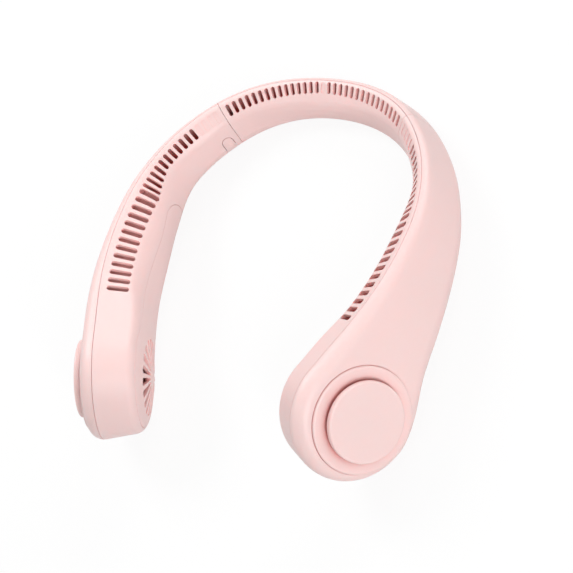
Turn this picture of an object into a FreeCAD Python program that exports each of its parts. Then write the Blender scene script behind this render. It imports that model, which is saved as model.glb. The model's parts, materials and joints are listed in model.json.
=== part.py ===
"""Electric neck fan: a U-shaped collar with a blower head at each end, in millimetres.

The collar is drawn flat first: the middle of its back arc is the drawing origin, +X is the
wearer's left, +Y points to the back of the neck and +Z up, with the crest line of the arms
at height zero. Every piece is then set down together, so that both heads and the back
touch the table at Z = 0.
"""

import FreeCAD
import Part
import Sketcher
import math
import os
from FreeCAD import Placement, Rotation, Vector

doc = FreeCAD.newDocument("neck_fan")

# Driving dimensions; a text is worked out from the sizes above it

SIZES = {
    # Plan of the crest line: back arc, arm arc, straight run to the head
    "back_radius": 88.3,
    "arm_radius": 160.0,
    "arm_turn": 21.5,
    "straight_run": 27.9,
    "head_place": "=back_radius * pi / 2 + arm_radius * arm_turn * pi / 180 + straight_run",
    "slot_step": 2.65,
    "back_slots": 15,
    "seam_line": "=back_radius * slot_step * pi / 180 * (back_slots + 1)",
    "nape_after": 39.7,
    "waist_before": 97.7,
    "bay_before": 75.7,
    "wrist_before": 40.7,
    "lean": 20.3,
    "wall": 2.0,
    "joint_gap": 0.24,
    "fit": 0.3,
    "seat_gap": 0.06,
    # Fan head, measured along its own axis from the parting plane of the shells
    "head_radius": 33.5,
    "axis_drop": 2.6,
    "outer_reach": 7.2,
    "inner_reach": 22.2,
    "rim_draft": 3.6,
    "rim_corner": 6.5,
    "dome": 3.2,
    # Air outlet slots
    "blind_slots": 4,
    "upper_slots": 11,
    "lower_slots": 13,
    "lower_step": 5.25,
    "slot_width": 2.2,
    "slot_length": 6.8,
    "middle_length": 6.2,
    "slot_margin": 3.0,
    "middle_margin": 0.9,
    "lower_slot_width": 3.0,
    "lower_slot_length": 11.7,
    "lower_slot_margin": 3.8,
    "growing_slots": 4,
    "blind_depth": 0.35,
    # Inner cover and its intake grille
    "cover_radius": "=head_radius * 0.83",
    "cover_reach": 15.0,
    "arch_radius": 9.0,
    "arch_back": 86.5,
    "arch_up": 20.0,
    "grille_radius": "=head_radius * 0.58",
    "grille_hub": "=head_radius * 0.19",
    "grille_slots": 18,
    "grille_outer_width": 4.2,
    "grille_inner_width": 1.2,
    # Intake bezel and raised cap on the outer face
    "bezel_radius": "=head_radius * 0.81",
    "bezel_flange": 1.2,
    "bezel_lip": 1.4,
    "bezel_proud": 1.1,
    "bezel_throat": "=head_radius * 0.48",
    "bezel_ledge": "=head_radius * 0.57",
    "bezel_ledge_depth": 0.6,
    "bezel_thickness": 1.4,
    "cap_radius": "=head_radius * 0.612",
    "cap_height": 5.4,
    "cap_thickness": 2.9,
    "cap_edge": 1.0,
    "cap_posts": 4,
    "cap_post_radius": 1.3,
    "cap_post_circle": "=head_radius * 0.525",
    # Blower
    "wheel_radius": "=head_radius * 0.56",
    "wheel_inner_radius": "=head_radius * 0.425",
    "wheel_height": 15.8,
    "wheel_plate": 1.2,
    "wheel_blades": 24,
    "blade_thickness": 0.9,
    "blade_camber": 1.6,
    "hub_radius": "=head_radius * 0.355",
    "hub_wall": 1.1,
    "hub_lift": 6.2,
    "scroll_wall": 1.4,
    "scroll_start": "=head_radius * 0.595",
    "scroll_step": 0.5,
    "scroll_floor": "=head_radius * 0.68",
    "boss_radius": 1.9,
    "boss_depth": 7.0,
    "scroll_inlet": "=head_radius * 0.48",
    "running_gap": 0.8,
    "mount_thickness": 1.6,
    "mount_hub": "=head_radius * 0.204",
    "mount_inner": "=head_radius * 0.52",
    "mount_outer": "=head_radius * 0.7",
    "mount_spoke": 4.0,
    "mount_spokes": 3,
    "magnet_wall": 1.5,
    "stator_radius": "=head_radius * 0.259",
    "stator_height": 6.0,
    "stator_poles": 6,
    "stator_core": 1.4,
    "pole_width": 2.2,
    "pole_shoe": 5.2,
    "shoe_depth": 1.2,
    "bearing_radius": 3.0,
    "bearing_length": 9.0,
    "tube_wall": 1.0,
    "shaft_radius": 1.5,
    "shaft_clearance": 0.04,
    "screw_radius": 1.0,
    "screw_length": 6.0,
    "screw_head_radius": 1.9,
    "screw_head_height": 1.2,
    "screw_slot": 0.6,
    "screw_circle": "=head_radius * 0.635",
    "screw_angle": 15.0,
    "screw_count": 3,
    # Cells, floor of the air duct, control board and its fittings
    "cell_radius": 7.1,
    "cell_length": 48.8,
    "cell_before": 65.7,
    "cell_place": "=head_place - cell_before",
    "cell_out": -1.0,
    "cell_cap_radius": 3.0,
    "cell_cap_height": 1.2,
    "floor_depth": 15.0,
    "floor_thickness": 1.5,
    "floor_before": 103.7,
    "floor_start": "=head_place - floor_before",
    "floor_after": 7.8,
    "floor_end": "=head_place - scroll_floor - floor_after",
    "board_after": 14.7,
    "board_place": "=seam_line + board_after",
    "board_length": 22.0,
    "board_height": 11.0,
    "board_thickness": 1.0,
    "board_out": 1.3,
    "board_depth": 18.5,
    "button_shift": 6.4,
    "button_wrap": 5.5,
    "button_width": 6.0,
    "button_top": 15.2,
    "button_gap": 0.3,
    "button_travel": 0.6,
    "button_stem_radius": 1.3,
    "button_stem": 5.0,
    "switch_size": 4.5,
    "switch_height": 2.2,
    "switch_depth": 19.0,
    "socket_shift": 5.5,
    "socket_gap": 0.12,
    "socket_width": 8.9,
    "socket_depth": 3.2,
    "socket_height": 7.0,
    "socket_wall": 0.3,
    "socket_roof": 1.0,
    "tongue_thickness": 0.7,
    "collar_back": 2.8,
    "collar_arm": 2.4,
    "collar_wall": 1.2,
    "loom_radius": 1.25,
    "loom_out": -5.6,
    "loom_depth": 18.4,
    "loom_start": "=board_place - board_length / 2 - fit",
    "loom_before": 95.7,
    "loom_end": "=head_place - loom_before",
}

# Cross sections along the arm: name, place along the plan line, how far the crest lies
# (out, up) from that line, slope of the skin's outward direction at the crest, bulge of the
# inner face, then the inner top, inner low and outer low corners (out, up) from the crest
SECTIONS = (
    ("back", 0.0, (-3.3, -1.4), 83.0, 0.2, (-10.5, -7.5), (-16.0, -21.0), (7.0, -22.0)),
    ("seam", "=seam_line", (0.0, -0.5), 84.0, 0.2, (-9.2, -7.6), (-12.5, -27.0), (10.8, -27.2)),
    (
        "nape", "=seam_line + nape_after", (0.0, 0.0), 93.0, 0.2,
        (-8.9, -8.4), (-9.6, -30.5), (13.8, -33.0),
    ),
    (
        "waist", "=head_place - waist_before", (0.0, 0.0), 93.5, 0.3,
        (-14.4, -8.6), (-11.0, -36.0), (15.0, -37.8),
    ),
    (
        "bay", "=head_place - bay_before", (0.0, 0.0), 95.0, 0.6,
        (-18.2, -11.0), (-11.4, -40.6), (17.6, -41.0),
    ),
    (
        "wrist", "=head_place - wrist_before", (0.0, 0.0), 104.0, 1.2,
        (-18.3, -10.7), (-7.7, -48.8), (23.4, -48.4),
    ),
)
CORNER_RADII = {
    "back": (3.4, 8.0, 7.0, 9.0),
    "seam": (3.8, 8.0, 7.0, 9.0),
    "nape": (4.5, 7.5, 7.0, 9.0),
    "waist": (5.6, 11.0, 7.0, 9.5),
    "bay": (6.2, 12.0, 7.0, 9.5),
    "wrist": (7.0, 10.0, 6.0, 9.0),
}

# Sheet of sizes

sheet = doc.addObject("Spreadsheet::Sheet", "sizes")
CORNER_NAMES = ("crest", "rim", "heel", "keel")
SECTION_KEYS = ("place", "setback", "rise", "ridge", "bulge") + tuple(
    "%s_%s" % (corner, key)
    for corner in CORNER_NAMES
    for key in ("out", "up", "radius")
    if corner != "crest" or key == "radius"
)


def fill_sheet():
    """Write every driving dimension into the sheet under its own alias."""
    cells = dict(SIZES)
    for name, place, (setback, rise), ridge, bulge, *corners in SECTIONS:
        cells[name + "_place"] = place
        cells[name + "_setback"] = setback
        cells[name + "_rise"] = rise
        cells[name + "_ridge"] = ridge
        cells[name + "_bulge"] = bulge
        for corner, (out, up) in zip(CORNER_NAMES[1:], corners):
            cells["_".join((name, corner, "out"))] = out
            cells["_".join((name, corner, "up"))] = up
        for corner, radius in zip(CORNER_NAMES, CORNER_RADII[name]):
            cells["_".join((name, corner, "radius"))] = radius
    for row, (alias, value) in enumerate(cells.items(), start=1):
        sheet.set("A%d" % row, alias)
        sheet.set("B%d" % row, str(value))
        sheet.setAlias("B%d" % row, alias)
        doc.recompute()


def size(alias):
    """Read one driving dimension from the sheet."""
    return float(sheet.get(alias))


fill_sheet()
UP = Vector(0, 0, 1)
WALL = size("wall")
LEAN = math.radians(size("lean"))
LEAN_UP = Vector(-math.sin(LEAN), math.cos(LEAN), 0)
LEAN_OUT = Vector(math.cos(LEAN), math.sin(LEAN), 0)

# Crest line in plan

BACK_RADIUS = size("back_radius")
ARM_RADIUS = size("arm_radius")
ARM_TURN = math.radians(size("arm_turn"))
BACK_LENGTH = BACK_RADIUS * math.pi / 2
BEND_END = BACK_LENGTH + ARM_RADIUS * ARM_TURN
HEAD_PLACE = size("head_place")
SLOT_PITCH = BACK_RADIUS * math.radians(size("slot_step"))
SEAM = size("seam_line")


def crest(along):
    """Point of the plan line and the outward direction there; negative is the right arm."""
    side = -1 if along < 0 else 1
    run = abs(along)
    if run <= BACK_LENGTH:
        angle = run / BACK_RADIUS
        out = Vector(math.sin(angle), math.cos(angle), 0)
        point = out * BACK_RADIUS
    else:
        angle = min((run - BACK_LENGTH) / ARM_RADIUS, ARM_TURN)
        out = Vector(math.cos(angle), -math.sin(angle), 0)
        point = Vector(BACK_RADIUS - ARM_RADIUS, 0, 0) + out * ARM_RADIUS
        point += Vector(-math.sin(angle), -math.cos(angle), 0) * max(run - BEND_END, 0)
    return Vector(side * point.x, point.y, 0), Vector(side * out.x, out.y, 0)


def along_arm(along):
    """Direction of the plan line, from the back towards the head."""
    out = crest(along)[1]
    return Vector(out.y, -out.x, 0) if along >= 0 else Vector(-out.y, out.x, 0)


# Cross sections


def lean_to_section(out, up):
    """Turn a distance along and across the leaning fan axis into section coordinates."""
    return LEAN_OUT * out + LEAN_UP * up


def head_corners(before):
    """Inner top, inner low and outer low corners of the round head, before its middle."""
    reach, inner = size("outer_reach"), size("inner_reach")
    draft, radius = size("rim_draft"), size("head_radius")
    drop = draft - reach
    tilt = math.atan2(drop, inner) + math.asin(reach / math.hypot(inner, drop))
    crest_up = (reach + inner) * math.tan(tilt) - draft
    low_crest = radius + math.sqrt((radius + crest_up) ** 2 - before ** 2)
    low_rim = radius + math.sqrt((radius - draft) ** 2 - before ** 2)
    return [
        lean_to_section(-inner, -draft),
        lean_to_section(-inner, -low_rim),
        lean_to_section(reach, -low_crest),
    ]


def head_knot(before):
    """Section of the round head, at a distance before its middle."""
    radius = size("head_radius")
    knot = {"place": HEAD_PLACE - before, "setback": 0.0, "rise": 0.0}
    knot["ridge"] = 90 + size("lean")
    knot["bulge"] = size("dome") * (1 - (before / radius) ** 2)
    for corner, tip in zip(CORNER_NAMES[1:], head_corners(before)):
        knot[corner + "_out"] = tip.x
        knot[corner + "_up"] = tip.y
        knot[corner + "_radius"] = size("outer_reach" if corner == "keel" else "rim_corner")
    knot["crest_radius"] = size("outer_reach")
    return knot


def knots():
    """Places along the arm where the section is given, each with its sizes by name."""
    rows = [{key: size(name + "_" + key) for key in SECTION_KEYS} for name, *_ in SECTIONS]
    half = size("head_radius") / 2
    return rows + [head_knot(before) for before in (half, half / 2, 0)]


KNOTS = knots()


def glide(along, key):
    """Size at a place along the arm, on a smooth curve through the knots with no overshoot."""
    places = [row["place"] for row in KNOTS]
    values = [row[key] for row in KNOTS]
    run = min(max(abs(along), places[0]), places[-1])
    steps = [places[i + 1] - places[i] for i in range(len(places) - 1)]
    rates = [(values[i + 1] - values[i]) / steps[i] for i in range(len(steps))]
    slopes = [0.0]
    for before, after in zip(rates, rates[1:]):
        slopes.append(2 * before * after / (before + after) if before * after > 0 else 0.0)
    slopes.append(0.0)
    i = max(k for k in range(len(steps)) if k == 0 or places[k] <= run)
    w = (run - places[i]) / steps[i]
    return (
        values[i] * (1 + 2 * w) * (1 - w) ** 2
        + values[i + 1] * w * w * (3 - 2 * w)
        + steps[i] * w * (1 - w) * (slopes[i] * (1 - w) - slopes[i + 1] * w)
    )


class Corner:
    """Rounded corner of a section: centre, radius and the directions where its arc ends."""

    def __init__(self, before, tip, after, radius):
        to_before = (before - tip).normalize()
        to_after = (after - tip).normalize()
        half = to_before.getAngle(to_after) / 2
        self.radius = radius
        self.centre = tip + (to_before + to_after).normalize() * (radius / math.sin(half))
        run = radius / math.tan(half)
        self.first = (tip + to_before * run - self.centre).normalize()
        self.last = (tip + to_after * run - self.centre).normalize()

    def points(self, first, last, inset):
        """Three points of the arc between two directions, set in from the skin."""
        middle = (first + last).normalize()
        return [self.centre + d * (self.radius - inset) for d in (first, middle, last)]

    def turned(self, direction, distance):
        """A direction from the corner's centre moved along its arc by a distance."""
        angle = math.atan2(direction.y, direction.x) + distance / self.radius
        return Vector(math.cos(angle), math.sin(angle), 0)


def ridge_way(along):
    """Outward direction of the skin at the crest line."""
    angle = math.radians(glide(along, "ridge"))
    return Vector(math.cos(angle), math.sin(angle), 0)


def crest_tip(way, radius, rim, keel):
    """Sharp corner whose rounding passes through the crest line in a given direction."""
    centre = way * -radius

    def touch(tip, sense):
        reach = tip - centre
        return math.atan2(reach.y, reach.x) + sense * math.acos(radius / reach.Length)

    band = touch(rim, -1) + 2 * math.pi
    outer = touch(keel, 1)
    middle = (band + outer) / 2
    reach = radius / math.cos((band - outer) / 2)
    return centre + Vector(math.cos(middle), math.sin(middle), 0) * reach


def section_corners(along):
    """The four rounded corners of the section."""
    tips = [
        Vector(glide(along, corner + "_out"), glide(along, corner + "_up"), 0)
        for corner in CORNER_NAMES[1:]
    ]
    radii = [glide(along, corner + "_radius") for corner in CORNER_NAMES]
    tips.insert(0, crest_tip(ridge_way(along), radii[0], tips[0], tips[2]))
    return [Corner(tips[k - 1], tips[k], tips[(k + 1) % 4], radii[k]) for k in range(4)]


def lift(along, flat):
    """Put a point of a section, given as (out, up) from the crest, into space."""
    point, out = crest(along)
    return point + out * (flat.x + glide(along, "setback")) + UP * (flat.y + glide(along, "rise"))


def inner_face(along, corners, inset):
    """Three points of the bulging inner face, from the inner top to the inner low corner."""
    _, rim, heel, _ = corners
    top = rim.centre + rim.last * (rim.radius - inset)
    low = heel.centre + heel.first * (heel.radius - inset)
    return [top, (top + low) / 2 + rim.last * glide(along, "bulge"), low]


def frame_groups(along, inset):
    """Arcs of the slotted frame: crest line, band, inner face and underside."""
    corners = section_corners(along)
    top, rim, heel, low = corners
    gap = size("joint_gap") / 2
    return [
        top.points(top.turned(ridge_way(along), gap), top.last, inset),
        rim.points(rim.first, rim.last, inset),
        inner_face(along, corners, inset),
        heel.points(heel.first, heel.last, inset),
        low.points(low.first, low.turned(LEAN_UP * -1, -gap), inset),
    ]


def cover_groups(along, inset):
    """Arcs of the outer cover: from the lower parting line up the outer face to the crest."""
    top, _, _, low = section_corners(along)
    gap = size("joint_gap") / 2
    return [
        low.points(low.turned(LEAN_UP * -1, gap), low.last, inset),
        top.points(top.first, top.turned(ridge_way(along), -gap), inset),
    ]


def ring_groups(along, inset):
    """All four corner arcs of a closed section."""
    return [corner.points(corner.first, corner.last, inset) for corner in section_corners(along)]


def chain(points):
    """Edges through groups of three arc points, joined by straight lines, closed."""
    edges = []
    for k, group in enumerate(points):
        if len(group) == 3:
            edges.append(Part.Arc(*group).toShape())
        nearest = points[(k + 1) % len(points)][0]
        if group[-1].distanceToPoint(nearest) > 1e-6:
            edges.append(Part.makeLine(group[-1], nearest))
    return Part.Wire(edges)


def backwards(groups):
    """The same arcs, run through from the other end."""
    return [group[::-1] for group in groups[::-1]]


def wall_profile(along, groups_of):
    """Closed outline of a wall that follows some of the section's arcs."""
    groups = groups_of(along, 0.0) + backwards(groups_of(along, WALL))
    return chain([[lift(along, p) for p in group] for group in groups])


def ring_profile(along, inset):
    """Closed outline of the whole section, set in from the skin."""
    return chain([[lift(along, p) for p in group] for group in ring_groups(along, inset)])


def steps_between(start, end, longest=14.0):
    """Places from start to end, no further apart than the longest step, with the knots kept."""
    marks = [start] + [row["place"] for row in KNOTS if start < row["place"] < end] + [end]
    places = [start]
    for a, b in zip(marks, marks[1:]):
        count = math.ceil((b - a) / longest)
        places += [a + (b - a) * (k + 1) / count for k in range(count)]
    return places


def even_steps(reach, count):
    """Places spread evenly over the back, from one seam to the other."""
    return [reach * (2 * k / count - 1) for k in range(count + 1)]


def loft(profiles):
    """Smooth solid through closed outlines."""
    return Part.makeLoft(profiles, True, False)


# Head frame: x up the leaning face, y forward, z outward along the fan axis

AXIS_DROP = size("axis_drop")


def head_point(up, forward, out):
    """Point given along the axes of the left head, measured from the fan axis."""
    depth = size("head_radius") + AXIS_DROP
    middle = lift(HEAD_PLACE, lean_to_section(out, up - depth))
    return middle + along_arm(HEAD_PLACE) * forward


HEAD_ORIGIN = head_point(0, 0, 0)
HEAD_UP = (head_point(1, 0, 0) - HEAD_ORIGIN).normalize()
HEAD_OUT = (head_point(0, 0, 1) - HEAD_ORIGIN).normalize()
HEAD_FORWARD = along_arm(HEAD_PLACE)
HEAD = Placement(HEAD_ORIGIN, Rotation(HEAD_UP, HEAD_FORWARD, HEAD_OUT, "ZXY"))


def half_face(group):
    """First half of a bulging face, up to the head's axis."""
    arc = Part.Arc(*group)
    start, end = arc.FirstParameter, arc.LastParameter
    return [group[0], arc.value(start + (end - start) / 4), group[1]]


def head_half(groups_of):
    """Front half of the round head: the upper half of a wall turned about the head's axis."""

    def upper(inset):
        groups = groups_of(HEAD_PLACE, inset)
        if groups_of is frame_groups:
            return groups[:2] + [half_face(groups[2])]
        flat = lean_to_section(size("outer_reach") - inset, -size("head_radius"))
        return backwards(groups[1:]) + [[flat]]

    groups = upper(0.0) + backwards(upper(WALL))
    outline = chain([[lift(HEAD_PLACE, p) for p in group] for group in groups])
    return Part.Face(outline).revolve(head_point(AXIS_DROP, 0, 0), HEAD_OUT, 180)


def arm_shell(groups_of):
    """One arm's wall from the seam to the tip of the head."""
    start = SEAM + size("joint_gap") / 2
    arm = loft([wall_profile(s, groups_of) for s in steps_between(start, HEAD_PLACE)])
    return arm.fuse(head_half(groups_of)).removeSplitter()


def back_shell(groups_of):
    """The back's wall from seam to seam."""
    reach = SEAM - size("joint_gap") / 2
    return loft([wall_profile(s, groups_of) for s in even_steps(reach, 10)])


# Air outlet slots


def slot_cutter(along, length, width, margin, depth):
    """Round-ended slot across the band, cut square to it."""
    top, rim = section_corners(along)[:2]
    start = top.centre + top.last * top.radius
    band = (rim.centre + rim.first * rim.radius - start).normalize()
    face = Vector(band.y, -band.x, 0)
    near = start + band * (margin - start.Length)
    radius = width / 2
    above = WALL * 2
    side = along_arm(along) * radius
    ends = [near + band * radius + face * above, near + band * (length - radius) + face * above]
    first, last = [lift(along, p) for p in ends]
    inward = lift(along, face * -1) - lift(along, Vector(0, 0, 0))
    sweep = (last - first).normalize() * radius
    outline = chain([
        [first + side, first - sweep, first - side],
        [last - side, last + sweep, last + side],
    ])
    return Part.Face(outline).extrude(inward * (above + depth))


def upper_slot(index):
    """Place, length, width and margin of a fine slot, counted from the middle of the back."""
    last = size("back_slots") + 1 + size("blind_slots") + size("upper_slots")
    share = max(0, index - (last - size("growing_slots"))) / (size("growing_slots") + 1)
    near = min(1, index / (size("back_slots") + 1))
    length = size("middle_length") * (1 - near) + size("slot_length") * near
    margin = size("middle_margin") * (1 - near) + size("slot_margin") * near
    length += share * (size("lower_slot_length") - size("slot_length"))
    margin += share * (size("lower_slot_margin") - size("slot_margin"))
    return index * SLOT_PITCH, length, size("slot_width"), margin


def arm_slots():
    """Cutters for one arm: blind slots beside the seam, fine slots and the long lower slots."""
    through = WALL * 3
    blind = size("blind_depth")
    first_blind = int(size("back_slots")) + 2
    first_open = first_blind + int(size("blind_slots"))
    end_open = first_open + int(size("upper_slots"))
    cutters = [slot_cutter(*upper_slot(k), blind) for k in range(first_blind, first_open)]
    cutters += [slot_cutter(*upper_slot(k), through) for k in range(first_open, end_open)]
    start = end_open * SLOT_PITCH
    lower = size("lower_slot_length"), size("lower_slot_width"), size("lower_slot_margin")
    for k in range(int(size("lower_slots"))):
        cutters.append(slot_cutter(start + k * size("lower_step"), *lower, through))
    return cutters


def back_slots():
    """Cutters for the back: open slots on both sides of one blind slot in the middle."""
    cutters = [slot_cutter(*upper_slot(0), size("blind_depth"))]
    for k in range(1, int(size("back_slots")) + 1):
        place, *shape = upper_slot(k)
        cutters.append(slot_cutter(place, *shape, WALL * 3))
        cutters.append(slot_cutter(-place, *shape, WALL * 3))
    return cutters


# Inner cover: a panel let into the inner face, with the round intake grille


def cover_outline(out):
    """Outline of the inner cover on a plane across the fan axis."""
    radius, arch = size("cover_radius"), size("arch_radius")
    back, rise = -size("arch_back"), size("arch_up")
    upper_join = -radius / 3
    lower_join = -radius * 2 / 3
    middle = back * 0.55

    def spot(forward, up):
        return head_point(up, forward, out)

    def on_circle(forward, sign):
        return spot(forward, AXIS_DROP + sign * math.sqrt(radius ** 2 - forward ** 2))

    top, low = spot(back, rise + arch), spot(back, rise - arch)
    top_join, low_join = on_circle(upper_join, 1), on_circle(lower_join, -1)
    edges = [
        Part.Arc(top, spot(middle, rise + arch * 0.45), top_join),
        Part.Arc(top_join, on_circle(radius, 1), low_join),
        Part.Arc(low_join, spot(middle, rise - arch * 2.1), low),
        Part.Arc(low, spot(back - arch, rise), top),
    ]
    return Part.Wire([edge.toShape() for edge in edges])


def cover_prism(grow):
    """Solid inside the cover's outline, grown all round, from far inside to the cover's reach."""
    far = size("inner_reach") * 3
    outline = cover_outline(-far).makeOffset2D(grow)
    return Part.Face(outline).extrude(HEAD_OUT * (far - size("cover_reach")))


def grille_cutters():
    """Tapered radial slots round the hub of the intake grille."""
    hub, radius = size("grille_hub"), size("grille_radius")
    narrow, wide = size("grille_inner_width") / 2, size("grille_outer_width") / 2
    outline = chain([
        [Vector(hub, narrow, 0), Vector(hub - narrow, 0, 0), Vector(hub, -narrow, 0)],
        [Vector(radius, -wide, 0), Vector(radius + wide / 3, 0, 0), Vector(radius, wide, 0)],
    ])
    far = size("inner_reach") * 2
    blade = Part.Face(outline).extrude(UP * (far - size("cover_reach")))
    blade.translate(UP * -far)
    cutters = []
    count = int(size("grille_slots"))
    for k in range(count):
        copy = blade.copy()
        copy.rotate(Vector(0, 0, 0), UP, 360 * k / count)
        copy.Placement = HEAD.multiply(copy.Placement)
        cutters.append(copy)
    return cutters


def inner_cover(shell):
    """Panel cut from the arm's own wall, so that it lies flush, with its intake grille."""
    return shell.common(cover_prism(-size("joint_gap") / 2)).cut(grille_cutters())


# Bound lengths and sketch helpers


class Length:
    """A length built from sheet sizes: its value and the expression that keeps it bound."""

    def __init__(self, value, text):
        self.value = value
        self.text = text

    def __add__(self, other):
        return Length(self.value + other.value, "%s + %s" % (self.text, other.text))

    def __sub__(self, other):
        return Length(self.value - other.value, "%s - (%s)" % (self.text, other.text))

    def __mul__(self, factor):
        return Length(self.value * factor, "(%s) * %s" % (self.text, factor))

    def __neg__(self):
        return Length(-self.value, "-(%s)" % self.text)


def bound(alias):
    """Length bound to one alias of the sheet."""
    return Length(size(alias), "sizes." + alias)


ZERO = Length(0.0, "0")


def origin_feature(body, role):
    """Plane or axis of a body's own origin."""
    return next(f for f in body.Origin.OriginFeatures if f.Role == role)


def new_sketch(body, role, level=ZERO):
    """Sketch on one of the body's planes, raised to a level."""
    sketch = body.newObject("Sketcher::SketchObject", body.Label + "_sketch")
    sketch.AttachmentSupport = [(origin_feature(body, role), "")]
    sketch.MapMode = "FlatFace"
    sketch.AttachmentOffset = Placement(Vector(0, 0, level.value), Rotation())
    sketch.setExpression("AttachmentOffset.Base.z", level.text)
    return sketch


def pin(sketch, geometry, point, x, y):
    """Fix one point of the sketch at two bound coordinates."""
    for kind, length, axis in (("DistanceX", x, -2), ("DistanceY", y, -1)):
        if length is ZERO:
            sketch.addConstraint(Sketcher.Constraint("PointOnObject", geometry, point, axis))
        else:
            rule = Sketcher.Constraint(kind, -1, 1, geometry, point, length.value)
            index = sketch.addConstraint(rule)
            sketch.setExpression("Constraints[%d]" % index, length.text)


def draw_polygon(sketch, points):
    """Closed outline of straight lines through bound points."""
    spots = [Vector(x.value, y.value, 0) for x, y in points]
    first = sketch.GeometryCount
    count = len(points)
    for k in range(count):
        sketch.addGeometry(Part.LineSegment(spots[k], spots[(k + 1) % count]), False)
    for k in range(count):
        after = first + (k + 1) % count
        sketch.addConstraint(Sketcher.Constraint("Coincident", first + k, 2, after, 1))
    for k, (x, y) in enumerate(points):
        pin(sketch, first + k, 1, x, y)


def draw_circle(sketch, radius, x=ZERO, y=ZERO):
    """Circle of a bound radius."""
    centre = Vector(x.value, y.value, 0)
    index = sketch.addGeometry(Part.Circle(centre, UP, radius.value), False)
    rule = sketch.addConstraint(Sketcher.Constraint("Radius", index, radius.value))
    sketch.setExpression("Constraints[%d]" % rule, radius.text)
    pin(sketch, index, 3, x, y)


def new_body(label):
    """Empty body in the head's own axes."""
    return doc.addObject("PartDesign::Body", label)


def turn(body, points):
    """Revolve a bound outline, given as (radius, height), about the body's z axis."""
    sketch = new_sketch(body, "XZ_Plane")
    draw_polygon(sketch, points)
    solid = body.newObject("PartDesign::Revolution", body.Label + "_turned")
    solid.Profile = sketch
    solid.ReferenceAxis = (sketch, ["V_Axis"])
    solid.Angle = 360
    return solid


def pad(body, sketch, height):
    """Pad a sketch upward by a bound height."""
    solid = body.newObject("PartDesign::Pad", body.Label + "_pad")
    solid.Profile = sketch
    solid.Length = height.value
    solid.setExpression("Length", height.text)
    return solid


def bore(body, sketch, depth):
    """Cut a sketch downward by a bound depth."""
    hole = body.newObject("PartDesign::Pocket", body.Label + "_bore")
    hole.Profile = sketch
    hole.Length = depth.value
    hole.setExpression("Length", depth.text)
    return hole


def repeat(body, original, count):
    """Repeat a feature round the body's z axis, a bound number of times."""
    ring = body.newObject("PartDesign::PolarPattern", body.Label + "_ring")
    ring.Originals = [original]
    ring.Axis = (origin_feature(body, "Z_Axis"), [""])
    ring.Angle = 360
    ring.Occurrences = int(count.value)
    ring.setExpression("Occurrences", count.text)
    body.Tip = ring
    return ring


def ring_body(label, outer, inner, low, height):
    """Plain ring about the z axis."""
    body = new_body(label)
    sketch = new_sketch(body, "XY_Plane", low)
    draw_circle(sketch, outer)
    draw_circle(sketch, inner)
    pad(body, sketch, height)
    return body


# Levels along the fan axis, counted outward from the parting plane

FLOOR_LOW = bound("wall") + bound("fit") - bound("inner_reach")
FLOOR_TOP = FLOOR_LOW + bound("scroll_wall")
WHEEL_LOW = FLOOR_TOP + bound("running_gap")
WHEEL_TOP = WHEEL_LOW + bound("wheel_height")
MOUNT_LOW = WHEEL_TOP + bound("running_gap")
MOUNT_TOP = MOUNT_LOW + bound("mount_thickness")
BEZEL_FACE = bound("outer_reach")
BEZEL_SEAT = BEZEL_FACE - bound("bezel_flange")
LEDGE = BEZEL_FACE - bound("bezel_ledge_depth")
CAP_FACE = BEZEL_FACE + bound("cap_height")
HUB_LOW = WHEEL_LOW + bound("hub_lift")
HUB_FLOOR = HUB_LOW + bound("wheel_plate")
TUBE_LOW = HUB_FLOOR + bound("fit") * 2
HUB_BORE = bound("hub_radius") - bound("hub_wall")
TUBE_BORE = bound("bearing_radius") + bound("seat_gap")
TUBE_RADIUS = TUBE_BORE + bound("tube_wall")


def sweep(degrees, count):
    """Sine and cosine of even steps through an angle from zero."""
    angles = [math.radians(degrees) * k / count for k in range(count + 1)]
    return [(math.sin(angle), math.cos(angle)) for angle in angles]


def intake_bezel():
    """Round bezel set in the outer cover: a rolled lip and a bell that falls in under the cap."""
    thick, proud = bound("bezel_thickness"), bound("bezel_proud")
    edge, lip = bound("bezel_radius"), bound("bezel_lip")
    seat = edge - bound("bezel_flange") * 1.5
    ledge, throat = bound("bezel_ledge"), bound("bezel_throat")
    crown, bell = edge - lip, sweep(60, 6)
    far_sine, far_cosine = bell[-1]
    span, drop = crown - ledge, proud + bound("bezel_ledge_depth")
    roll = [(crown + lip * cosine, BEZEL_FACE + proud * sine) for sine, cosine in sweep(90, 5)]
    roll += [
        (crown - span * (sine / far_sine), LEDGE + drop * ((cosine - far_cosine) / (1 - far_cosine)))
        for sine, cosine in bell[1:]
    ]
    body = new_body("left_intake_bezel")
    turn(body, roll + [
        (throat, LEDGE),
        (throat, LEDGE - thick),
        (ledge + thick * 0.5, LEDGE - thick),
        (seat, BEZEL_SEAT - thick * 0.6),
        (seat, BEZEL_SEAT),
        (edge, BEZEL_SEAT),
    ])
    return body


def intake_cap():
    """Round cap standing on posts over the bezel, so that air enters all round its edge."""
    radius, edge = bound("cap_radius"), bound("cap_edge")
    top = bound("cap_thickness") * 0.5
    skirt = radius - top
    ring, level = radius - edge, CAP_FACE - edge
    roll = [(ring + edge * sine, level + edge * cosine) for sine, cosine in sweep(90, 4)]
    body = new_body("left_intake_cap")
    turn(body, [(ZERO, CAP_FACE)] + roll + [
        (radius, CAP_FACE - bound("cap_thickness")),
        (skirt, CAP_FACE - bound("cap_thickness")),
        (skirt, CAP_FACE - top),
        (ZERO, CAP_FACE - top),
    ])
    sketch = new_sketch(body, "XY_Plane", LEDGE)
    draw_circle(sketch, bound("cap_post_radius"), bound("cap_post_circle"), ZERO)
    post = pad(body, sketch, CAP_FACE - LEDGE - top * 0.5)
    repeat(body, post, bound("cap_posts"))
    return body


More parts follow.
